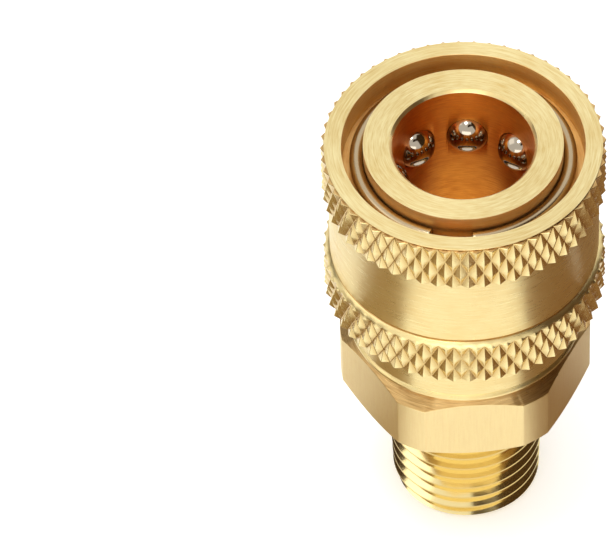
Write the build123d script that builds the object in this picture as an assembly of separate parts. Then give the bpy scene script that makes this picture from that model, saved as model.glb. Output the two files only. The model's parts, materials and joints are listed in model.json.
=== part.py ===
from build123d import *
from math import atan, cos, degrees, hypot, radians, sin, tan
import os

# Ball-lock quick disconnect coupler, socket half, in millimetres.
# The axis is Z. The part stands on its thread tip at z = 0 and the mouth faces +Z.

os.makedirs("parts", exist_ok=True)

# ---- driving dimensions ----

# tapered pipe thread, 1/4-18
PITCH = 25.4 / 18
TAPER = 1 / 32                 # radius gained per millimetre of length
CREST_R = 6.62                 # crest radius at the tip face
PIPE_R = 6.858                 # the blank's radius, where the taper runs out
THREAD_DEPTH = 1.02
ROOT_FLAT = 0.06
THREAD_END = 12.4
TIP_R = 6.0
TIP_CHAMFER = 0.64
FLOW_R = 4.17                  # bore through the adapter

# hexagon
BOSS_R = 6.95
HEX_Z = 13.94
HEX_TOP = 21.37
HEX_AF = 20.6                  # across flats, for a 13/16 in spanner
HEX_TURNED_R = 11.2            # the corners are turned off at this radius
HEX_ANGLE = 4.0                # a corner's direction from +X
HEX_CHAMFER = 30.0             # the chamfer on the thread's side
HEX_CONE_Z = 20.05             # the chamfer on the body's side, from here to its top
HEX_CONE_TOP = 20.98
COLLAR_R = 9.6                 # the body stands on this collar

# spigot that joins the adapter to the body
SPIGOT_R = 7.48
SPIGOT_TOP = 25.4

# body
NECK_R = 10.3
NECK_TOP = 26.1
BEAD_R = 10.42                 # small bead where the neck meets the hexagon
BEAD_GROOVE_R = 10.1
TUBE_R = 8.75
BODY_TOP = 43.85
JOINT_BORE_R = 7.5             # spigot socket and seal gland
GLAND_TOP = 28.5
GUIDE_R = 6.05
MOUTH_R = 6.22
MOUTH_Z = 40.8
GUIDE_Z = 35.5                 # the bore narrows slightly from the mouth down to here
MOUTH_EDGE_R = 6.47

# locking balls
BALL_R = 1.985                 # 5/32 in ball
BALL_Z = 38.2
BALL_ORBIT = 6.7               # the balls' centres, locked
BALL_TRAVEL = 1.25
BALL_COUNT = 8
BALL_FIRST = 86.6              # the first ball's direction from +X
BALL_HOLE_R = 2.02

# snap ring
WIRE_R = 0.64
RING_R = 9.32                  # the wire's centre
RING_Z = 41.9
RING_GAP = 3.4
RING_GAP_ANGLE = -97.0
RING_PLAY = 0.02

# sleeve
SLEEVE_BACK = 26.4
SLEEVE_FRONT = 43.74
KNURL_R = 12.5
BAND_1_TOP = 31.15             # rear knurled band
BAND_2_BOTTOM = 38.92          # front knurled band
WAIST_R = 11.89
FRONT_EDGE_R = 12.16
SKIRT_R = 10.9
LAND_Z = 35.4
LAND_R = 8.82
STOP_Z = 41.25                 # the shoulder that rests against the snap ring
COUNTERBORE_R = 10.64
SLEEVE_TRAVEL = 4.6

# spring
SPRING_WIRE_R = 0.45
SPRING_R = 9.65
SPRING_COILS = 4.5

# seals
SEAL_WIRE_R = 0.87
SEAL_R = 6.62
SEAL_Z = 26.35
BACKUP_R = 6.1
BACKUP_Z = 27.3


def revolved(points):
    """A solid of revolution about Z from (radius, z) corners in order."""
    corners = [(r, 0, z) for r, z in points]
    outline = Polyline(*corners, close=True)
    return revolve(make_face(outline), Axis.Z)


def at_angle(radius, angle, z):
    """A point at this radius and angle about Z."""
    return (radius * cos(radians(angle)), radius * sin(radians(angle)), z)


# ---- adapter: thread, hexagon, spigot ----

def thread_cutter():
    """The thread's groove: a truncated 60 degree tooth swept up a tapered right-hand helix."""
    start = -1.5 * PITCH
    height = THREAD_END - 0.5 * PITCH - start
    middle_r = CREST_R + start * TAPER - THREAD_DEPTH / 2
    path = Helix(
        PITCH,
        height,
        middle_r,
        center=(0, 0, start),
        cone_angle=degrees(atan(TAPER)),
    )
    root_r = middle_r - THREAD_DEPTH / 2
    outer_r = middle_r + THREAD_DEPTH / 2 + 0.03
    half_root = ROOT_FLAT / 2
    half_outer = half_root + (outer_r - root_r) * tan(radians(30))
    tooth = Polyline(
        (root_r, 0, start - half_root),
        (outer_r, 0, start - half_outer),
        (outer_r, 0, start + half_outer),
        (root_r, 0, start + half_root),
        close=True,
    )
    # the helix starts at +X; the run-out is turned to the back
    cutter = sweep(make_face(tooth), path=path, is_frenet=True)
    turns = height / PITCH
    return Rot(0, 0, 90 - 360 * (turns % 1)) * cutter


def hexagon():
    """The spanner hexagon, with its corners turned off and both faces chamfered."""
    height = HEX_TOP - HEX_Z
    prism = extrude(RegularPolygon(HEX_AF / 2, 6, major_radius=False), height)
    prism = Pos(0, 0, HEX_Z) * Rot(0, 0, HEX_ANGLE) * prism
    drop = tan(radians(HEX_CHAMFER))
    flat_r = HEX_AF / 2 - 0.1
    fall = (HEX_TURNED_R - flat_r) * drop
    turned = revolved([
        (0, HEX_Z),
        (flat_r, HEX_Z),
        (HEX_TURNED_R, HEX_Z + fall),
        (HEX_TURNED_R, HEX_CONE_Z),
        (COLLAR_R, HEX_CONE_TOP),
        (COLLAR_R, HEX_TOP),
        (0, HEX_TOP),
    ])
    return prism & turned


def make_adapter():
    """The thread is cut in a straight blank first, and then the blank's taper and tip chamfer
    are turned over it."""
    taper_top = (PIPE_R - CREST_R) / TAPER
    blank = revolved([(0, 0), (PIPE_R, 0), (PIPE_R, HEX_Z), (0, HEX_Z)])
    threaded = blank - thread_cutter()
    turned_off = revolved([
        (TIP_R - 0.1, -0.1),
        (TIP_R + TIP_CHAMFER, TIP_CHAMFER),
        (PIPE_R, taper_top),
        (PIPE_R + 1, taper_top),
        (PIPE_R + 1, -0.1),
    ])
    boss = revolved([
        (0, THREAD_END + 0.5),
        (PIPE_R - 0.1, THREAD_END + 0.5),
        (BOSS_R, THREAD_END + 0.7),
        (BOSS_R, HEX_Z + 0.5),
        (0, HEX_Z + 0.5),
    ])
    spigot = revolved([
        (0, HEX_TOP - 0.5),
        (SPIGOT_R, HEX_TOP - 0.5),
        (SPIGOT_R, SPIGOT_TOP - 0.3),
        (SPIGOT_R - 0.3, SPIGOT_TOP),
        (0, SPIGOT_TOP),
    ])
    bore = revolved([
        (0, -1),
        (FLOW_R + 1.35, -1),
        (FLOW_R, 0.35),
        (FLOW_R, SPIGOT_TOP - 0.4),
        (FLOW_R + 1.4, SPIGOT_TOP + 1),
        (0, SPIGOT_TOP + 1),
    ])
    return threaded - turned_off + boss + hexagon() + spigot - bore


# ---- body: neck, tube, ball holes, ring groove, gland, mouth ----

def ball_hole():
    """One radial hole, drilled from outside and stopped short so the ball cannot fall in."""
    drilled = Pos(BALL_ORBIT, 0, BALL_Z) * Rot(0, 90, 0) * extrude(Circle(BALL_HOLE_R), 4)
    seat = Pos(BALL_ORBIT, 0, BALL_Z) * Sphere(BALL_HOLE_R)
    return drilled + seat


def make_body():
    edge = 0.2
    shape = revolved([
        (JOINT_BORE_R, HEX_TOP),
        (BEAD_R - 0.12, HEX_TOP),
        (BEAD_R, HEX_TOP + 0.12),
        (BEAD_R, HEX_TOP + 0.28),
        (BEAD_GROOVE_R, HEX_TOP + 0.5),
        (NECK_R, HEX_TOP + 0.75),
        (NECK_R, NECK_TOP - edge),
        (NECK_R - edge, NECK_TOP),
        (TUBE_R, NECK_TOP),
        (TUBE_R, BODY_TOP - 0.15),
        (TUBE_R - 0.15, BODY_TOP),
        (MOUTH_EDGE_R, BODY_TOP),
        (MOUTH_R, BODY_TOP - 0.25),
        (MOUTH_R, MOUTH_Z),
        (GUIDE_R, GUIDE_Z),
        (GUIDE_R, GLAND_TOP),
        (JOINT_BORE_R, GLAND_TOP),
    ])
    groove = Pos(0, 0, RING_Z) * Torus(RING_R, WIRE_R + RING_PLAY)
    shape = shape - groove
    for i in range(BALL_COUNT):
        turn = BALL_FIRST + i * 360 / BALL_COUNT
        shape = shape - Rot(0, 0, turn) * ball_hole()
    return shape


# ---- sleeve ----

def make_sleeve():
    """The sleeve's inside rises from a land over the balls to the stop at a slope that keeps
    it just clear of every ball as both move."""
    slope = BALL_TRAVEL / SLEEVE_TRAVEL
    gap = BALL_R * hypot(1, slope) + 0.03
    ramp_z = BALL_Z + (LAND_R - BALL_ORBIT - gap) / slope
    stop_r = BALL_ORBIT + slope * (STOP_Z - BALL_Z) + gap
    step = 0.3
    return revolved([
        (SKIRT_R, SLEEVE_BACK + 0.15),
        (SKIRT_R + 0.15, SLEEVE_BACK),
        (WAIST_R + 0.2, SLEEVE_BACK),
        (KNURL_R, SLEEVE_BACK + step),
        (KNURL_R, BAND_1_TOP - step),
        (WAIST_R, BAND_1_TOP),
        (WAIST_R, BAND_2_BOTTOM),
        (KNURL_R, BAND_2_BOTTOM + step),
        (KNURL_R, SLEEVE_FRONT - step),
        (FRONT_EDGE_R, SLEEVE_FRONT),
        (COUNTERBORE_R + 0.1, SLEEVE_FRONT),
        (COUNTERBORE_R, SLEEVE_FRONT - 0.1),
        (COUNTERBORE_R, STOP_Z),
        (stop_r, STOP_Z),
        (LAND_R, ramp_z),
        (LAND_R, LAND_Z),
        (SKIRT_R, LAND_Z),
    ])


# ---- spring, snap ring, balls, seals ----

def make_spring():
    low = NECK_TOP + SPRING_WIRE_R + 0.02
    high = LAND_Z - SPRING_WIRE_R - 0.02
    path = Helix((high - low) / SPRING_COILS, high - low, SPRING_R, center=(0, 0, low))
    wire = Plane(origin=path @ 0, z_dir=path % 0) * Circle(SPRING_WIRE_R)
    return sweep(wire, path=path, is_frenet=True)


def make_snap_ring():
    half_gap = degrees(RING_GAP / 2 / RING_R)
    start = RING_GAP_ANGLE + half_gap
    section = Plane(
        origin=at_angle(RING_R, start, RING_Z),
        z_dir=(-sin(radians(start)), cos(radians(start)), 0),
    ) * Circle(WIRE_R)
    return revolve(section, Axis.Z, 360 - 2 * half_gap)


def make_ball(i):
    turn = BALL_FIRST + i * 360 / BALL_COUNT
    return Pos(*at_angle(BALL_ORBIT, turn, BALL_Z)) * Sphere(BALL_R)


def make_seal():
    return Pos(0, 0, SEAL_Z) * Torus(SEAL_R, SEAL_WIRE_R)


def make_backup_ring():
    return revolved([
        (BACKUP_R, BACKUP_Z),
        (JOINT_BORE_R - 0.02, BACKUP_Z),
        (JOINT_BORE_R - 0.02, GLAND_TOP - 0.02),
        (BACKUP_R, GLAND_TOP - 0.02),
    ])


# ---- write one file for each piece ----

pieces = {
    "hex_adapter": make_adapter(),
    "socket_body": make_body(),
    "locking_sleeve": make_sleeve(),
    "sleeve_spring": make_spring(),
    "snap_ring": make_snap_ring(),
    "nose_o_ring": make_seal(),
    "backup_ring": make_backup_ring(),
}
for i in range(BALL_COUNT):
    pieces[f"locking_ball_{i + 1}"] = make_ball(i)

for name, piece in pieces.items():
    solids = piece.solids()
    print(name, len(solids), "solid", round(sum(s.volume for s in solids), 1), "mm3")
    export_step(solids[0] if len(solids) == 1 else piece, f"parts/{name}.step")
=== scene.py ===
# %% [markdown]
# # A quick disconnect coupler, dressed for its portrait
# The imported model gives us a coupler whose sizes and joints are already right. What it lacks is
# what the eye looks for in turned brass: edges that are just broken, knurling that is really
# cut, and a surface that carries the marks of the lathe. Each cell below adds one of these.

# %% Load the frame
import json
import math

import bpy
from mathutils import Matrix, Vector

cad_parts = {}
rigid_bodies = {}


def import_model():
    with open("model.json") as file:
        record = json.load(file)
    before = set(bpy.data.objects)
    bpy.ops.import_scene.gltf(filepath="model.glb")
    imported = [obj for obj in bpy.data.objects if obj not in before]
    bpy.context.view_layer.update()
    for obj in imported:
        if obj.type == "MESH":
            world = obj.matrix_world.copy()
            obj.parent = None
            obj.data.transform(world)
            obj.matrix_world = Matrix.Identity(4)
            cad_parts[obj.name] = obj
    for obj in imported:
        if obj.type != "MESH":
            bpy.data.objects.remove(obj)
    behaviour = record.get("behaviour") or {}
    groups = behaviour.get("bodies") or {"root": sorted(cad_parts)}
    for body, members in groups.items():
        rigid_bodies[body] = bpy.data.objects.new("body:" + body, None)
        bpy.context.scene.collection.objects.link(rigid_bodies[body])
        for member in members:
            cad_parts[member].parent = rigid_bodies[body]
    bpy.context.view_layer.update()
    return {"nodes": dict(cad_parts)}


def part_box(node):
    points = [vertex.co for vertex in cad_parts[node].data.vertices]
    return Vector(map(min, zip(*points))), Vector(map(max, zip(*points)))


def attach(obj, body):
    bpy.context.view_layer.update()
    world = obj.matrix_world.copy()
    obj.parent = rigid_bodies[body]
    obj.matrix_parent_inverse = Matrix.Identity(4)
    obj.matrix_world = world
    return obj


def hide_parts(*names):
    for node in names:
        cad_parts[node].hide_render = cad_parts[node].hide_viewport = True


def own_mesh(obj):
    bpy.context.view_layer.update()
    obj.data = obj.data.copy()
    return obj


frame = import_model()

# %% [markdown]
# ## A few tools of the bench
# Everything is drawn in metres, so a millimetre gets a name. An operator acts on all that is
# selected, so each new piece starts by letting go of everything else.

# %% Units and selection
MM = 0.001
scene = bpy.context.scene


def let_go():
    """Leave edit mode and deselect everything."""
    if bpy.context.object and bpy.context.object.mode == "EDIT":
        bpy.ops.object.mode_set(mode="OBJECT")
    bpy.ops.object.select_all(action="DESELECT")


def take(piece):
    """Make this piece the one that operators act on."""
    let_go()
    piece.select_set(True)
    bpy.context.view_layer.objects.active = piece


def edit_all(piece):
    """Open the piece in edit mode with all of it selected."""
    take(piece)
    bpy.ops.object.mode_set(mode="EDIT")
    bpy.ops.mesh.select_all(action="SELECT")


def pick_vertices(piece, wanted):
    """Select the vertices that wanted(co) is true for, and stay in edit mode."""
    bpy.ops.object.mode_set(mode="EDIT")
    bpy.ops.mesh.select_mode(type="VERT")
    bpy.ops.mesh.select_all(action="DESELECT")
    bpy.ops.object.mode_set(mode="OBJECT")
    for vertex in piece.data.vertices:
        vertex.select = wanted(vertex.co)
    bpy.ops.object.mode_set(mode="EDIT")


def apply_modifier(piece, kind, **settings):
    """Add a modifier, set it up and apply it."""
    take(piece)
    modifier = piece.modifiers.new(kind.title(), kind)
    for key, value in settings.items():
        setattr(modifier, key, value)
    bpy.ops.object.modifier_apply(modifier=modifier.name)


def break_edges(piece, width_mm, segments=2, angle=25):
    """Round every edge sharper than the angle, as a lathe hand breaks it with a file."""
    apply_modifier(
        piece,
        "BEVEL",
        width=width_mm * MM,
        segments=segments,
        limit_method="ANGLE",
        angle_limit=math.radians(angle),
        use_clamp_overlap=True,
        harden_normals=False,
    )


def smooth(piece, angle=30):
    take(piece)
    bpy.ops.object.shade_smooth_by_angle(angle=math.radians(angle))


# %% [markdown]
# ## Turning on a lathe
# Most of the coupler is turned. A lathe can be copied in Blender with Spin, or with a curve and
# a Screw modifier. Here a circle is extruded ring by ring along the profile, because that keeps
# the rings in step with each other, and the knurling later needs every vertex in a known place.


# %% Lathe
def turn(name, profile, steps):
    """Turn a closed ring from (radius, height) corners in millimetres, in order."""
    let_go()
    radius, height = profile[0]
    bpy.ops.mesh.primitive_circle_add(vertices=steps, radius=radius * MM)
    piece = bpy.context.object
    piece.name = piece.data.name = name
    bpy.ops.object.mode_set(mode="EDIT")
    bpy.ops.mesh.select_all(action="SELECT")
    bpy.ops.transform.translate(value=(0, 0, height * MM))
    for new_radius, new_height in profile[1:] + profile[:1]:
        rise = (new_height - height) * MM
        bpy.ops.mesh.extrude_region_move(TRANSFORM_OT_translate={"value": (0, 0, rise)})
        scale = new_radius / radius
        bpy.ops.transform.resize(value=(scale, scale, 1), center_override=(0, 0, 0))
        radius, height = new_radius, new_height
    bpy.ops.mesh.select_all(action="SELECT")
    bpy.ops.mesh.remove_doubles(threshold=0.001 * MM)
    bpy.ops.mesh.normals_make_consistent(inside=False)
    bpy.ops.object.mode_set(mode="OBJECT")
    return piece


def box_mm(node):
    low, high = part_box(node)
    return Vector(low) / MM, Vector(high) / MM


# %% [markdown]
# ## The locking sleeve
# Two knurled bands give the fingers their grip. A knurling tool rolls two sets of V grooves into
# the brass, one leaning left and one leaning right, and what stands between them is a row of
# pyramids. Each groove runs through the corners of a regular grid, so the sleeve is turned with
# four steps to a tooth and the grid's vertices are pressed in by two amounts: all the way on a
# groove, and half way between a groove and a point. The grooves are then real geometry, which
# catches the light in a way that a bump map cannot.

# %% Sleeve sizes
sleeve_low, sleeve_high = box_mm("locking_sleeve")
SLEEVE_BACK, SLEEVE_FRONT = sleeve_low.z, sleeve_high.z
KNURL_R = sleeve_high.x
WAIST_R = 11.89
UNDERCUT_R = 11.62       # the tool's corner leaves a fine line beside each band
STRIP_R = 12.22          # plain chamfer at a band's edge, before the knurl starts
FRONT_EDGE_R = 12.16
TEETH = 57
KNURL_DEPTH = 0.4
KNURL_STEPS = 6          # quarter diamonds in a band's height
REAR_WIDTH = 31.15 - SLEEVE_BACK
FRONT_WIDTH = 4.82
print("knurl pitch in mm:", round(2 * math.pi * KNURL_R / TEETH, 3))


def band_rows(bottom, top):
    """Heights of the knurl's grid rows in one band."""
    return [bottom + (top - bottom) * i / KNURL_STEPS for i in range(KNURL_STEPS + 1)]


REAR_TOP = SLEEVE_BACK + REAR_WIDTH
FRONT_BOTTOM = SLEEVE_FRONT - FRONT_WIDTH
rear_rows = band_rows(SLEEVE_BACK + 0.04, REAR_TOP - 0.5)
front_rows = band_rows(FRONT_BOTTOM + 0.12, SLEEVE_FRONT - 0.24)

# %% Sleeve
sleeve = turn(
    "knurled_sleeve",
    [
        (10.9, SLEEVE_BACK),
        (WAIST_R + 0.04, SLEEVE_BACK),
        *[(KNURL_R, z) for z in rear_rows],
        (STRIP_R, REAR_TOP - 0.3),
        (WAIST_R - 0.02, REAR_TOP - 0.02),
        (UNDERCUT_R, REAR_TOP + 0.05),
        (UNDERCUT_R, REAR_TOP + 0.16),
        (WAIST_R, REAR_TOP + 0.24),
        (WAIST_R, FRONT_BOTTOM - 0.05),
        (WAIST_R + 0.06, FRONT_BOTTOM + 0.02),
        *[(KNURL_R, z) for z in front_rows],
        (11.95, SLEEVE_FRONT - 0.17),
        (11.95, SLEEVE_FRONT - 0.12),
        (FRONT_EDGE_R, SLEEVE_FRONT - 0.07),
        (FRONT_EDGE_R, SLEEVE_FRONT),
        (10.64, SLEEVE_FRONT),
        (10.64, 41.25),
        (9.61, 41.25),
        (8.82, 38.32),
        (8.82, 35.4),
        (10.9, 35.4),
    ],
    4 * TEETH,
)


def groove_share(co):
    """0 on a pyramid's point, 1 on a groove, and None off the knurl's grid."""
    if co.xy.length < (KNURL_R - 0.01) * MM:
        return None
    rows = rear_rows if co.z / MM < REAR_TOP else front_rows
    column = round(math.atan2(co.y, co.x) / (2 * math.pi) * 4 * TEETH)
    row = round((co.z / MM - rows[0]) / (rows[1] - rows[0]))
    left = abs((column + row + 2) % 4 - 2) / 2
    right = abs((column - row + 2) % 4 - 2) / 2
    return max(left, right)


def press_in(piece, share):
    pick_vertices(piece, lambda co: groove_share(co) == share)
    scale = 1 - share * KNURL_DEPTH / KNURL_R
    bpy.ops.transform.resize(value=(scale, scale, 1), center_override=(0, 0, 0))
    bpy.ops.object.mode_set(mode="OBJECT")


take(sleeve)
press_in(sleeve, 0.5)
press_in(sleeve, 1.0)
pick_vertices(sleeve, lambda co: co.xy.length > (WAIST_R + 0.02) * MM)
bpy.ops.mesh.quads_convert_to_tris(quad_method="SHORTEST_DIAGONAL")
bpy.ops.object.mode_set(mode="OBJECT")
break_edges(sleeve, 0.03, 1, 35)
smooth(sleeve, 30)
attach(sleeve, "sleeve")
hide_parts("locking_sleeve")
print("sleeve faces:", len(sleeve.data.polygons))

# %% [markdown]
# ## The body
# Inside the sleeve sits a plain tube with eight holes for the balls. The tube is turned like the
# sleeve, and each hole is cut with a Boolean modifier. The cutter has a round end, so that a lip
# is left in the bore to keep the ball from falling in.

# %% Body
body_low, body_high = box_mm("socket_body")
BODY_FRONT = body_high.z
BORE_R = 6.22
socket = turn(
    "turned_body",
    [
        (7.5, body_low.z),
        (10.34, body_low.z),
        (10.42, body_low.z + 0.08),
        (10.42, body_low.z + 0.28),
        (10.1, body_low.z + 0.46),
        (10.1, body_low.z + 0.54),
        (10.3, body_low.z + 0.72),
        (10.3, 26.1),
        (8.75, 26.1),
        (8.75, 35.8),
        (8.75, 40.6),
        (8.75, 41.21),
        (8.6, 41.6),
        (8.57, 41.9),
        (8.6, 42.2),
        (8.75, 42.59),
        (8.75, BODY_FRONT),
        (6.47, BODY_FRONT),
        (BORE_R, BODY_FRONT - 0.25),
        (BORE_R, 40.8),
        (6.05, 35.5),
        (6.05, 28.5),
        (7.5, 28.5),
    ],
    192,
)


def ball_centre(number):
    low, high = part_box(f"locking_ball_{number}")
    return (Vector(low) + Vector(high)) / 2


def hole_cutter(centre):
    """A drill with a ball end, pointing at the axis."""
    let_go()
    bpy.ops.mesh.primitive_uv_sphere_add(segments=48, ring_count=24, radius=2.02 * MM)
    cutter = bpy.context.object
    bpy.ops.object.mode_set(mode="EDIT")
    bpy.ops.mesh.select_all(action="SELECT")
    bpy.ops.mesh.bisect(plane_co=(0, 0, 0.0001 * MM), plane_no=(0, 0, 1), clear_outer=True)
    bpy.ops.mesh.select_all(action="DESELECT")
    bpy.ops.mesh.select_non_manifold()
    bpy.ops.mesh.extrude_region_move(TRANSFORM_OT_translate={"value": (0, 0, 4 * MM)})
    bpy.ops.mesh.edge_face_add()
    bpy.ops.mesh.select_all(action="SELECT")
    bpy.ops.mesh.normals_make_consistent(inside=False)
    bpy.ops.object.mode_set(mode="OBJECT")
    outward = Vector((centre.x, centre.y, 0)).normalized()
    turn_to = outward.to_track_quat("Z", "Y").to_matrix().to_4x4()
    cutter.data.transform(Matrix.Translation(centre) @ turn_to)
    return cutter


for number in range(1, 9):
    drill = hole_cutter(ball_centre(number))
    apply_modifier(socket, "BOOLEAN", object=drill, operation="DIFFERENCE", solver="EXACT")
    bpy.data.objects.remove(drill)
break_edges(socket, 0.07, 2, 25)
smooth(socket, 30)
apply_modifier(socket, "WEIGHTED_NORMAL", keep_sharp=True)
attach(socket, "body")
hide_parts("socket_body")
print("body faces:", len(socket.data.polygons))

# %% [markdown]
# ## Balls, snap ring and spring
# The balls are the same shape as in the CAD model, only rounder. The snap ring is a piece of
# round spring wire bent to a circle, so it starts as a torus and a gap is cut from it.

# %% Balls
for number in range(1, 9):
    centre = ball_centre(number)
    let_go()
    bpy.ops.mesh.primitive_ico_sphere_add(subdivisions=5, radius=1.985 * MM)
    ball = bpy.context.object
    ball.name = ball.data.name = f"steel_ball_{number}"
    ball.data.transform(Matrix.Translation(centre))
    bpy.ops.object.shade_smooth()
    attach(ball, f"ball_{number}")
    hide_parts(f"locking_ball_{number}")

# %% Snap ring
RING_R = 9.32
WIRE_R = 0.64
GAP_ANGLE = math.radians(-97)
let_go()
bpy.ops.mesh.primitive_torus_add(
    major_segments=240, minor_segments=32, major_radius=RING_R * MM, minor_radius=WIRE_R * MM
)
ring = bpy.context.object
ring.name = ring.data.name = "round_wire_ring"
ring_low, ring_high = box_mm("snap_ring")
bpy.ops.object.mode_set(mode="EDIT")
for side in (-1, 1):
    edge = GAP_ANGLE + side * 1.7 / RING_R
    normal = Vector((-math.sin(edge), math.cos(edge), 0)) * side
    inward = Vector((math.cos(GAP_ANGLE), math.sin(GAP_ANGLE), 0))
    bpy.ops.mesh.select_all(action="SELECT")
    bpy.ops.mesh.bisect(plane_co=(0, 0, 0), plane_no=normal)
bpy.ops.object.mode_set(mode="OBJECT")
half_gap = 1.7 / RING_R


def in_gap(co):
    off = math.atan2(co.y, co.x) - GAP_ANGLE
    off = (off + math.pi) % (2 * math.pi) - math.pi
    return abs(off) < half_gap - 0.001


pick_vertices(ring, in_gap)
bpy.ops.mesh.delete(type="VERT")
bpy.ops.mesh.select_all(action="SELECT")
bpy.ops.mesh.select_all(action="DESELECT")
bpy.ops.mesh.select_non_manifold()
bpy.ops.mesh.fill_holes(sides=0)
bpy.ops.mesh.select_all(action="SELECT")
bpy.ops.mesh.normals_make_consistent(inside=False)
bpy.ops.transform.translate(value=(0, 0, (ring_low.z + ring_high.z) / 2 * MM))
bpy.ops.object.mode_set(mode="OBJECT")
break_edges(ring, 0.08, 2, 50)
smooth(ring, 40)
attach(ring, "body")
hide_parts("snap_ring")

# %% [markdown]
# ## The spring
# The spring pushes the sleeve forward again. It is one round wire wound in a helix, so a circle
# is drawn at the wire's place and the Screw modifier sweeps it round and up in one go. Its ends
# are then closed.

# %% Spring
SPRING_R = 9.65
SPRING_WIRE_R = 0.45
COILS = 4.5
spring_low, spring_high = box_mm("sleeve_spring")
rise = spring_high.z - spring_low.z - 2 * SPRING_WIRE_R
let_go()
bpy.ops.mesh.primitive_circle_add(vertices=20, radius=SPRING_WIRE_R * MM)
spring = bpy.context.object
spring.name = spring.data.name = "wound_spring"
edit_all(spring)
bpy.ops.transform.rotate(value=math.pi / 2, orient_axis="X", center_override=(0, 0, 0))
start_z = (spring_low.z + SPRING_WIRE_R) * MM
bpy.ops.transform.translate(value=(SPRING_R * MM, 0, start_z))
bpy.ops.object.mode_set(mode="OBJECT")
apply_modifier(
    spring,
    "SCREW",
    angle=2 * math.pi * COILS,
    screw_offset=rise * MM,
    steps=int(60 * COILS),
    render_steps=int(60 * COILS),
)
edit_all(spring)
bpy.ops.mesh.select_all(action="DESELECT")
bpy.ops.mesh.select_non_manifold()
bpy.ops.mesh.fill_holes(sides=0)
bpy.ops.mesh.select_all(action="SELECT")
bpy.ops.mesh.normals_make_consistent(inside=False)
bpy.ops.object.mode_set(mode="OBJECT")
smooth(spring, 40)
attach(spring, "spring")
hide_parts("sleeve_spring")
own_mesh(spring)
print("spring faces:", len(spring.data.polygons))

# %% [markdown]
# ## The adapter
# The adapter starts as hexagonal bar. A lathe turns its ends round and its corners off, which is
# where the curved edges on the flats come from. The same happens here: a turned blank is cut
# with a hexagonal prism, and the Boolean modifier finds those curves by itself.

# %% Hexagon
adapter_low, adapter_high = box_mm("hex_adapter")
FLOW_R = 4.17
HEX_Z = 13.94
HEX_TOP = body_low.z
FLAT_R = 10.3
CORNER_R = 11.2
HEX_TURN = math.radians(4)
THREAD_END = 12.4
adapter = turn(
    "hexagon_adapter",
    [
        (FLOW_R, THREAD_END),
        (6.86, THREAD_END),
        (6.95, THREAD_END + 0.15),
        (6.95, HEX_Z),
        (FLAT_R - 0.1, HEX_Z),
        (CORNER_R, HEX_Z + 0.58),
        (CORNER_R, 20.05),
        (9.6, 20.98),
        (9.6, HEX_TOP),
        (7.48, HEX_TOP),
        (7.48, adapter_high.z - 0.3),
        (7.18, adapter_high.z),
        (FLOW_R + 0.9, adapter_high.z),
        (FLOW_R, adapter_high.z - 0.4),
    ],
    192,
)
let_go()
bpy.ops.mesh.primitive_cylinder_add(
    vertices=6,
    radius=FLAT_R / math.cos(math.pi / 6) * MM,
    depth=16 * MM,
    location=(0, 0, 19 * MM),
)
prism = bpy.context.object
# a new cylinder has its first corner towards +Y
flat_turn = HEX_TURN - math.pi / 2
prism.data.transform(Matrix.Rotation(flat_turn, 4, "Z"))
apply_modifier(adapter, "BOOLEAN", object=prism, operation="INTERSECT", solver="EXACT")
bpy.data.objects.remove(prism)
break_edges(adapter, 0.06, 2, 17)
print("hexagon across corners in mm:", round(adapter.dimensions.x / MM, 2))

# %% [markdown]
# ### The thread
# The Screw modifier is made for this. One pitch of the thread's profile, a sharp V, is swept
# round and up until it is a little too long and too wide, and tapered. A turned envelope then
# trims it, which leaves the narrow flats on the crests and the chamfer at the tip, just as
# on the lathe, where the bar is turned to size before the die cuts it.

# %% Thread
PITCH = 25.4 / 18
TAPER = 1 / 32
CREST_R = 6.62
ROOT_R = CREST_R - 1.02
PIPE_R = 6.858
GROOVE_Z = -1.358 - PITCH  # a groove's middle towards +X, well below the tip
TURNS = 12


def trace(name, corners):
    """An open line through (radius, height) corners in millimetres, in the XZ plane."""
    let_go()
    bpy.ops.mesh.primitive_circle_add(vertices=3, radius=MM)
    line = bpy.context.object
    line.name = line.data.name = name
    bpy.ops.object.mode_set(mode="EDIT")
    bpy.ops.mesh.select_all(action="SELECT")
    bpy.ops.mesh.merge(type="CENTER")
    radius, height = 0, 0
    for step, (new_radius, new_height) in enumerate(corners):
        move = {"value": ((new_radius - radius) * MM, 0, (new_height - height) * MM)}
        if step == 0:
            bpy.ops.transform.translate(**move)
        else:
            bpy.ops.mesh.extrude_vertices_move(TRANSFORM_OT_translate=move)
        radius, height = new_radius, new_height
    bpy.ops.object.mode_set(mode="OBJECT")
    return line


sharp_r = ROOT_R + (PITCH - 0.06) / 2 / math.tan(math.radians(30))
thread = trace(
    "pipe_thread",
    [
        (ROOT_R, GROOVE_Z - 0.03),
        (ROOT_R, GROOVE_Z + 0.03),
        (sharp_r, GROOVE_Z + PITCH / 2),
        (ROOT_R, GROOVE_Z + PITCH - 0.03),
    ],
)
apply_modifier(
    thread,
    "SCREW",
    screw_offset=PITCH * MM,
    iterations=TURNS,
    steps=120,
    render_steps=120,
    use_merge_vertices=True,
    merge_threshold=0.002 * MM,
)
edit_all(thread)
bpy.ops.mesh.remove_doubles(threshold=0.002 * MM)
for height, side in ((-0.4, -1), (THREAD_END + 0.1, 1)):
    bpy.ops.mesh.select_all(action="SELECT")
    bpy.ops.mesh.bisect(
        plane_co=(0, 0, height * MM), plane_no=(0, 0, side), clear_outer=True, use_fill=True
    )
bpy.ops.mesh.select_all(action="SELECT")
bpy.ops.mesh.normals_make_consistent(inside=False)
bpy.ops.object.mode_set(mode="OBJECT")
length = thread.dimensions.z / MM
apply_modifier(
    thread,
    "SIMPLE_DEFORM",
    deform_method="TAPER",
    deform_axis="Z",
    factor=length * TAPER / CREST_R,
)
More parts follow.
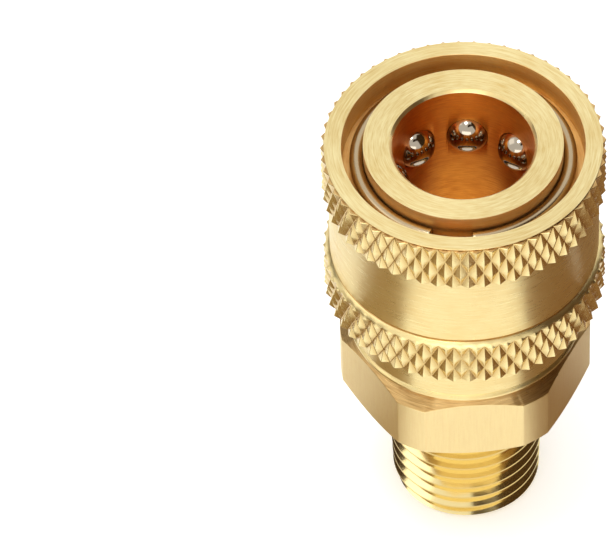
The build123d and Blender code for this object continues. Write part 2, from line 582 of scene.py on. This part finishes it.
envelope = turn(
    "envelope",
    [
        (FLOW_R, 0.35),
        (FLOW_R + 0.35, 0),
        (6.0, 0),
        (6.64, 0.64),
        (PIPE_R, (PIPE_R - CREST_R) / TAPER),
        (PIPE_R, THREAD_END + 0.05),
        (FLOW_R, THREAD_END + 0.05),
    ],
    240,
)
# a small turn keeps the envelope's corners off the thread's own
envelope.data.transform(Matrix.Rotation(math.radians(0.7), 4, "Z"))
apply_modifier(thread, "BOOLEAN", object=envelope, operation="INTERSECT", solver="EXACT")
bpy.data.objects.remove(envelope)
print("thread length in mm:", round(thread.dimensions.z / MM, 2), "faces:", len(thread.data.polygons))

# %% Join
apply_modifier(adapter, "BOOLEAN", object=thread, operation="UNION", solver="EXACT")
bpy.data.objects.remove(thread)
smooth(adapter, 20)
apply_modifier(adapter, "WEIGHTED_NORMAL", keep_sharp=True)
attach(adapter, "body")
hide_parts("hex_adapter")
print("adapter faces:", len(adapter.data.polygons))

# %% [markdown]
# ## Materials
# Every finish starts from a real one. One function turns the colours of a paint chart into the
# linear values that the renderer works in, and one adds a node with its settings and links.


# %% Material tools
def linear(hex_colour):
    """An sRGB hex colour as linear RGBA."""
    parts = [int(hex_colour[i : i + 2], 16) / 255 for i in (1, 3, 5)]
    return [p / 12.92 if p <= 0.04045 else ((p + 0.055) / 1.055) ** 2.4 for p in parts] + [1]


def add(material, kind, settings=None, **inputs):
    """Add one node. Its settings are set by name and its inputs to a value or another socket."""
    tree = material.node_tree
    node = tree.nodes.new(kind)
    for key, value in (settings or {}).items():
        setattr(node, key, value)
    for key, value in inputs.items():
        socket = node.inputs[int(key[1:]) if key[0] == "i" and key[1:].isdigit() else key]
        if isinstance(value, bpy.types.NodeSocket):
            tree.links.new(value, socket)
        else:
            socket.default_value = value
    return node


def new_material(name):
    material = bpy.data.materials.new(name)
    material.use_nodes = True
    shader = material.node_tree.nodes["Principled BSDF"]
    return material, shader


def wear(piece, *materials):
    piece.data.materials.clear()
    for material in materials:
        piece.data.materials.append(material)


def repaint(piece, material, wanted):
    """Give another finish to the faces that wanted(centre, normal) is true for."""
    piece.data.materials.append(material)
    number = len(piece.data.materials) - 1
    for face in piece.data.polygons:
        if wanted(face.center, face.normal):
            face.material_index = number


# %% [markdown]
# ### Turned brass
# The bar is free-cutting brass, and the lathe's tip leaves a very fine spiral on it. Seen from
# outside, that spiral is a set of rings round the axis, on walls and on faces alike. Each mark
# is a short arc, so the pattern changes quickly across the marks and slowly along them. The
# marks also smear each highlight across themselves, which is what Anisotropic is for. Its
# tangent runs round the axis.

# %% Turned brass
BRASS = "#F6E2A4"
FEED = 0.12              # mm between the tool's marks, drawn a little coarser than they are


def round_axis(material):
    """Position, radius less height, direction from the axis, and the tangent round it."""
    place = add(material, "ShaderNodeTexCoord").outputs["Object"]
    split = add(material, "ShaderNodeSeparateXYZ", i0=place)
    flat = add(
        material, "ShaderNodeCombineXYZ", X=split.outputs["X"], Y=split.outputs["Y"]
    ).outputs[0]
    radius = add(material, "ShaderNodeVectorMath", {"operation": "LENGTH"}, i0=flat)
    outward = add(material, "ShaderNodeVectorMath", {"operation": "NORMALIZE"}, i0=flat)
    run = add(
        material,
        "ShaderNodeMath",
        {"operation": "SUBTRACT"},
        i0=radius.outputs["Value"],
        i1=split.outputs["Z"],
    )
    along = add(
        material,
        "ShaderNodeVectorMath",
        {"operation": "CROSS_PRODUCT"},
        i0=(0, 0, 1),
        i1=outward.outputs[0],
    )
    tangent = add(
        material,
        "ShaderNodeVectorTransform",
        {"vector_type": "VECTOR", "convert_from": "OBJECT", "convert_to": "WORLD"},
        Vector=along.outputs[0],
    )
    return place, run.outputs[0], outward.outputs[0], tangent.outputs[0]


def arc_noise(material, run, outward, arcs, spacing_mm, detail):
    """Noise in arcs round the axis, so many to a radian, at a spacing across them."""
    spread = add(
        material, "ShaderNodeVectorMath", {"operation": "SCALE"}, i0=outward, Scale=arcs
    )
    lift = add(
        material,
        "ShaderNodeMath",
        {"operation": "MULTIPLY"},
        i0=run,
        i1=1 / (spacing_mm * MM),
    )
    up = add(material, "ShaderNodeCombineXYZ", Z=lift.outputs[0])
    where = add(
        material,
        "ShaderNodeVectorMath",
        {"operation": "ADD"},
        i0=spread.outputs[0],
        i1=up.outputs[0],
    )
    return add(
        material,
        "ShaderNodeTexNoise",
        Vector=where.outputs[0],
        Scale=1.0,
        Detail=detail,
        Roughness=0.6,
    ).outputs["Fac"]


def turned(name, base, shade, rough_low, rough_high, smear, mark_strength, cloud=1.0):
    material, shader = new_material(name)
    place, run, outward, tangent = round_axis(material)
    shader.inputs["Metallic"].default_value = 1.0
    shader.inputs["Anisotropic"].default_value = smear
    shader.inputs["Anisotropic Rotation"].default_value = 0.25
    link = material.node_tree.links.new
    link(tangent, shader.inputs["Tangent"])
    marks = arc_noise(material, run, outward, 5.0, FEED, 3.0)
    haze = add(
        material, "ShaderNodeTexNoise", Vector=place, Scale=260.0, Detail=4.0, Roughness=0.55
    ).outputs["Fac"]
    both = add(
        material, "ShaderNodeMath", {"operation": "MULTIPLY_ADD"}, i0=haze, i1=cloud, i2=marks
    )
    middle = 0.5 + 0.5 * cloud
    mottle = add(
        material, "ShaderNodeMapRange", Value=both.outputs[0], i1=middle - 0.25, i2=middle + 0.3
    )
    # random mottle between two tones; in several finishes below these tones are also painted light
    # and shade
    mottle_and_painted_light = add(
        material,
        "ShaderNodeMix",
        {"data_type": "RGBA"},
        Factor=mottle.outputs["Result"],
        i6=linear(base),
        i7=linear(shade),
    )
    link(mottle_and_painted_light.outputs[2], shader.inputs["Base Color"])
    rough = add(
        material,
        "ShaderNodeMapRange",
        Value=marks,
        i1=0.3,
        i2=0.7,
        i3=rough_low,
        i4=rough_high,
    )
    link(rough.outputs["Result"], shader.inputs["Roughness"])
    bump = add(
        material, "ShaderNodeBump", Height=marks, Strength=mark_strength, Distance=0.02 * MM
    )
    link(bump.outputs["Normal"], shader.inputs["Normal"])
    return material


turned_brass = turned("turned_brass", BRASS, "#EFD391", 0.24, 0.4, 0.7, 0.4)
# the faces that look up are painted paler than the walls: a painted highlight over the facing marks
faced_brass_painted_highlight = turned("faced_brass_painted_highlight", "#FDEDB4", "#E4C680", 0.34, 0.5, 0.4, 1.0, 0.5)
# the bore is painted darker and more orange than the outside: painted shade, and a painted reflection
# of its walls mirroring each other
bored_brass_painted_shade = turned("bored_brass_painted_shade", "#FAA43C", "#DE8028", 0.34, 0.46, 0.8, 0.2)
# painted shade: the corner between the neck and the hexagon and the narrow strips beside the sleeve's
# bands are painted darker brown
painted_shade_brass = turned("painted_shade_brass", "#EFCB8A", "#A87A42", 0.26, 0.4, 0.6, 0.8, 0.15)
# inside the mouth the walls mirror each other; they are painted a shade warmer, a painted reflection
inner_brass_painted_reflection = turned("inner_brass_painted_reflection", "#FFDC98", "#F2C074", 0.42, 0.58, 0.0, 0.3)

# %% [markdown]
# ### Rolled and drawn brass
# The knurl and the thread are rolled or cut by a die, which leaves them smooth and bright. The
# hexagon's flats are the skin of the drawn bar: dull, with faint lines along its length.

# %% Rolled and drawn brass
rolled_brass, shader = new_material("rolled_brass")
shader.inputs["Metallic"].default_value = 1.0
place, run, outward, tangent = round_axis(rolled_brass)
split = add(rolled_brass, "ShaderNodeSeparateXYZ", i0=place)
flat = add(rolled_brass, "ShaderNodeCombineXYZ", X=split.outputs["X"], Y=split.outputs["Y"])
reach = add(rolled_brass, "ShaderNodeVectorMath", {"operation": "LENGTH"}, i0=flat.outputs[0])
# painted shade: the grooves are painted darker than the points, where shade falls between the teeth
painted_groove_shade = add(
    rolled_brass,
    "ShaderNodeMapRange",
    Value=reach.outputs["Value"],
    i1=(KNURL_R - KNURL_DEPTH) * MM,
    i2=(KNURL_R - 0.12) * MM,
)
tone = add(
    rolled_brass,
    "ShaderNodeMix",
    {"data_type": "RGBA"},
    Factor=painted_groove_shade.outputs["Result"],
    i6=linear("#D6B676"),
    i7=linear(BRASS),
).outputs[2]
rolled_brass.node_tree.links.new(tone, shader.inputs["Base Color"])
grain = add(
    rolled_brass, "ShaderNodeTexNoise", Vector=place, Scale=2200.0, Detail=3.0, Roughness=0.6
).outputs["Fac"]
rough = add(rolled_brass, "ShaderNodeMapRange", Value=grain, i1=0.3, i2=0.7, i3=0.16, i4=0.3)
rolled_brass.node_tree.links.new(rough.outputs["Result"], shader.inputs["Roughness"])
bump = add(rolled_brass, "ShaderNodeBump", Height=grain, Strength=0.2, Distance=0.02 * MM)
rolled_brass.node_tree.links.new(bump.outputs["Normal"], shader.inputs["Normal"])

threaded_brass, shader = new_material("threaded_brass")
shader.inputs["Base Color"].default_value = linear("#F5DF9F")
shader.inputs["Metallic"].default_value = 1.0
shader.inputs["Roughness"].default_value = 0.13

drawn_brass, shader = new_material("drawn_brass")
shader.inputs["Metallic"].default_value = 1.0
place = add(drawn_brass, "ShaderNodeTexCoord").outputs["Object"]
LINE = 0.15              # mm between the die's lines
stretched = add(
    drawn_brass,
    "ShaderNodeMapping",
    Vector=place,
    Scale=(1 / (LINE * MM), 1 / (LINE * MM), 1 / (2.5 * MM)),
).outputs[0]
lines = add(
    drawn_brass, "ShaderNodeTexNoise", Vector=stretched, Scale=1.0, Detail=3.0, Roughness=0.6
).outputs["Fac"]
grain = add(
    drawn_brass, "ShaderNodeTexNoise", Vector=place, Scale=3500.0, Detail=2.0, Roughness=0.6
).outputs["Fac"]
skin = add(
    drawn_brass, "ShaderNodeMath", {"operation": "MULTIPLY_ADD"}, i0=lines, i1=0.25, i2=grain
).outputs[0]
rough = add(drawn_brass, "ShaderNodeMapRange", Value=skin, i1=0.4, i2=0.9, i3=0.36, i4=0.5)
drawn_brass.node_tree.links.new(rough.outputs["Result"], shader.inputs["Roughness"])
tone = add(
    drawn_brass,
    "ShaderNodeMix",
    {"data_type": "RGBA"},
    Factor=lines,
    i6=linear("#F6E2A6"),
    i7=linear("#EDD199"),
).outputs[2]
drawn_brass.node_tree.links.new(tone, shader.inputs["Base Color"])
bump = add(drawn_brass, "ShaderNodeBump", Height=skin, Strength=0.3, Distance=0.02 * MM)
drawn_brass.node_tree.links.new(bump.outputs["Normal"], shader.inputs["Normal"])

# %% Which face wears what
wear(sleeve, turned_brass)
# painted highlight on the sleeve's faces that look up
repaint(sleeve, faced_brass_painted_highlight, lambda c, n: n.z > 0.9)
repaint(
    sleeve,
    rolled_brass,
    lambda c, n: c.xy.length > (WAIST_R + 0.03) * MM
    and (
        rear_rows[0] * MM < c.z < rear_rows[-1] * MM
        or front_rows[0] * MM < c.z < front_rows[-1] * MM
    ),
)
# painted reflection: the sleeve's walls inside the mouth are painted warmer
repaint(sleeve, inner_brass_painted_reflection, lambda c, n: c.xy.length < 10.7 * MM and c.z > 38 * MM)
# painted shade on the fine line beside the rear band and on the strip under the front edge
repaint(
    sleeve,
    painted_shade_brass,
    lambda c, n: c.xy.length > 11 * MM
    and (
        REAR_TOP * MM < c.z < (REAR_TOP + 0.2) * MM
        or (SLEEVE_FRONT - 0.23) * MM < c.z < (SLEEVE_FRONT - 0.09) * MM
    ),
)
wear(socket, turned_brass)
# painted reflection: the body's wall in the gap round the ring is painted warmer
repaint(socket, inner_brass_painted_reflection, lambda c, n: c.xy.length > 8.4 * MM and c.z > 40.6 * MM and n.z < 0.8)
# painted highlight on the body's faces that look up
repaint(socket, faced_brass_painted_highlight, lambda c, n: n.z > 0.9)
# painted shade and painted reflection on the bore's wall
repaint(socket, bored_brass_painted_shade, lambda c, n: c.xy.length < 6.6 * MM and abs(n.z) < 0.5)
wear(adapter, turned_brass)
repaint(
    adapter,
    drawn_brass,
    lambda c, n: c.z > HEX_Z * MM and abs(n.z) < 0.1 and 9.9 * MM < c.xy.length < 11.3 * MM,
)
# painted shade on the hexagon's chamfer under the neck
repaint(adapter, painted_shade_brass, lambda c, n: 20 * MM < c.z < 21.4 * MM and 0.3 < n.z < 0.95)
repaint(adapter, threaded_brass, lambda c, n: c.z < (THREAD_END + 0.01) * MM)
for piece in (sleeve, socket, adapter):
    print(piece.name, [slot.material.name for slot in piece.material_slots])

# %% [markdown]
# ### Steel
# The balls are hardened chrome steel, ground and lapped to a mirror. The ring is drawn spring
# wire, duller.

# %% Steel
ball_steel, shader = new_material("lapped_ball_steel")
shader.inputs["Base Color"].default_value = linear("#B0A492")
shader.inputs["Metallic"].default_value = 1.0
shader.inputs["Roughness"].default_value = 0.1
for number in range(1, 9):
    wear(bpy.data.objects[f"steel_ball_{number}"], ball_steel)

wire_steel, shader = new_material("drawn_spring_wire")
shader.inputs["Base Color"].default_value = linear("#BDA886")
shader.inputs["Metallic"].default_value = 1.0
shader.inputs["Roughness"].default_value = 0.24
wear(ring, wire_steel)
wear(spring, wire_steel)

rubber, shader = new_material("moulded_nitrile_rubber")
shader.inputs["Base Color"].default_value = linear("#1C1B1A")
shader.inputs["Roughness"].default_value = 0.5
wear(frame["nodes"]["nose_o_ring"], rubber)

ptfe, shader = new_material("machined_ptfe")
shader.inputs["Base Color"].default_value = linear("#E8E6DF")
shader.inputs["Roughness"].default_value = 0.45
wear(frame["nodes"]["backup_ring"], ptfe)

# %% [markdown]
# ## Studio
# A pale floor, a large soft light from the front, a small one high on the left and a small one
# overhead. Polished metal shows its surroundings more than its own colour, so the lights are
# chosen as much for what the brass mirrors as for what they light.

# %% Floor and world
let_go()
bpy.ops.mesh.primitive_plane_add(size=6)
floor = bpy.context.object
floor.name = "floor"
floor_white, shader = new_material("matte_white_floor")
shader.inputs["Base Color"].default_value = linear("#FDFDFD")
shader.inputs["Roughness"].default_value = 0.9
# the camera sees the floor a little lighter than the brass does, as on a lit table
seen = add(floor_white, "ShaderNodeLightPath").outputs["Is Camera Ray"]
lift = add(floor_white, "ShaderNodeMath", {"operation": "MULTIPLY"}, i0=seen, i1=0.18)
shader.inputs["Emission Color"].default_value = linear("#FFFFFF")
floor_white.node_tree.links.new(lift.outputs[0], shader.inputs["Emission Strength"])
wear(floor, floor_white)

world = bpy.data.worlds.new("studio")
world.use_nodes = True
world.node_tree.nodes["Background"].inputs["Color"].default_value = linear("#FFFFFF")
world.node_tree.nodes["Background"].inputs["Strength"].default_value = 1.0
scene.world = world
scene.view_settings.view_transform = "Standard"


# %% Lights
def soft_box(name, place, size, watts, aim=(0, 0, 0.02)):
    data = bpy.data.lights.new(name, "AREA")
    data.shape = "RECTANGLE"
    data.size, data.size_y = size
    data.energy = watts
    lamp = bpy.data.objects.new(name, data)
    scene.collection.objects.link(lamp)
    lamp.location = place
    lamp.rotation_mode = "QUATERNION"
    lamp.rotation_quaternion = (Vector(aim) - Vector(place)).to_track_quat("-Z", "Y")
    lamp.visible_camera = False
    return lamp


soft_box("front", (-0.1, -0.75, 0.4), (0.7, 0.4), 1.4)
soft_box("left_high", (-0.5, 0.05, 0.6), (0.35, 0.35), 0.3)
soft_box("overhead", (-0.12, -0.1, 0.95), (0.2, 0.2), 1.0)


def bore_lamp(height_mm, radius_mm, watts):
    """Light that comes up through the bore, as it does when a fitting stands on glass."""
    data = bpy.data.lights.new("through_bore", "AREA")
    data.shape = "DISK"
    data.size = 2 * radius_mm * MM
    data.energy = watts
    lamp = bpy.data.objects.new("through_bore", data)
    scene.collection.objects.link(lamp)
    lamp.location = (0, 0, height_mm * MM)
    lamp.rotation_euler = (math.pi, 0, 0)
    lamp.visible_camera = False


bore_lamp(24.5, 4.0, 0.00018)


# %% [markdown]
# ## Cards
# Metal with nothing dark to mirror looks like plastic, so a studio puts grey and brown cards
# round it. These show only in reflections. They cast no shadow and don't darken the floor. A
# ring round the thread glows, seen only in reflections: a painted reflection that puts back the
# gold which the hexagon's shade would hide.

# %% Cards
def card(name, corners, colour):
    """A flat card through four (x, y, z) corners in millimetres."""
    let_go()
    bpy.ops.mesh.primitive_plane_add(size=1)
    board = bpy.context.object
    board.name = board.data.name = name
    for vertex, index in zip(board.data.vertices, (0, 1, 3, 2)):
        vertex.co = Vector(corners[index]) * MM
    paper, shader = new_material(f"{name}_paper")
    shader.inputs["Base Color"].default_value = linear(colour)
    shader.inputs["Roughness"].default_value = 1.0
    shader.inputs["Specular IOR Level"].default_value = 0.0
    wear(board, paper)
    board.visible_camera = False
    board.visible_diffuse = False
    board.visible_shadow = False
    return board


def way(azimuth, distance, height):
    """A point at this azimuth from the front, positive to the right, in millimetres."""
    a = math.radians(azimuth)
    return (distance * math.sin(a), -distance * math.cos(a), height)


card(
    "right_low",
    [way(46, 14, 0.4), way(46, 300, 0.4), way(106, 300, 0.4), way(106, 14, 0.4)],
    "#84674A",
)
card(
    "right_back_low",
    [way(106, 31, 0.4), way(106, 300, 0.4), way(168, 300, 0.4), way(168, 31, 0.4)],
    "#84674A",
)
card(
    "left_low",
    [way(-46, 14, 0.4), way(-46, 300, 0.4), way(-88, 300, 0.4), way(-88, 14, 0.4)],
    "#96805F",
)
card(
    "right_wall",
    [way(50, 300, 0), way(50, 300, 800), way(122, 300, 800), way(122, 300, 0)],
    "#43321F",
)
card(
    "right_high",
    [way(2, 300, 560), way(2, 300, 1000), way(50, 300, 1000), way(50, 300, 560)],
    "#33261A",
)
card(
    "left_wall",
    [way(-60, 300, 0), way(-60, 300, 150), way(-96, 300, 150), way(-96, 300, 0)],
    "#6A5A48",
)
card(
    "left_back",
    [way(-108, 300, 90), way(-108, 300, 260), way(-150, 300, 260), way(-150, 300, 90)],
    "#3A2A1C",
)

# %% Glowing ring
# painted reflection: this ring glows only in reflections, in place of light that the hexagon shades
# off
let_go()
bpy.ops.mesh.primitive_circle_add(vertices=96, radius=7.2 * MM, location=(0, 0, 0.2 * MM))
glow = bpy.context.object
glow.name = glow.data.name = "glowing_ring"
bpy.ops.object.mode_set(mode="EDIT")
bpy.ops.mesh.select_all(action="SELECT")
bpy.ops.mesh.extrude_region_move()
bpy.ops.transform.resize(value=(2.1, 2.1, 1), center_override=(0, 0, 0))
bpy.ops.object.mode_set(mode="OBJECT")
paper, shader = new_material("painted_reflection_glow")
shader.inputs["Base Color"].default_value = linear("#000000")
shader.inputs["Specular IOR Level"].default_value = 0.0
shader.inputs["Emission Color"].default_value = linear("#FFF3DA")
shader.inputs["Emission Strength"].default_value = 0.9
wear(glow, paper)
glow.visible_camera = False
glow.visible_diffuse = False
glow.visible_shadow = False

# %% [markdown]
# ## Camera
# A long lens from well above, rolled very slightly. The coupler stands to the right of the
# middle, so the camera is panned a little to the left of it.

# %% Camera
ELEVATION = math.radians(49.61)
ROLL = math.radians(0.53)
PAN = math.radians(1.218)
TILT = math.radians(0.337)
DISTANCE = 0.6603
target = Vector((0, 0, 0.02))
ahead = Vector((0, math.cos(ELEVATION), -math.sin(ELEVATION)))
right = Vector((1, 0, 0))
up = right.cross(ahead)
right, up = right * math.cos(ROLL) - up * math.sin(ROLL), up * math.cos(ROLL) + right * math.sin(ROLL)
aim = (ahead - right * math.tan(PAN) + up * math.tan(TILT)).normalized()
right = (right - aim * right.dot(aim)).normalized()
up = right.cross(aim)
camera_data = bpy.data.cameras.new("camera")
camera_data.sensor_width = 36
camera_data.lens = 431.28
camera_data.clip_start, camera_data.clip_end = 0.05, 20
camera = bpy.data.objects.new("camera", camera_data)
scene.collection.objects.link(camera)
pose = Matrix((right, up, -aim)).transposed().to_4x4()
pose.translation = target - ahead * DISTANCE
camera.matrix_world = pose
scene.camera = camera
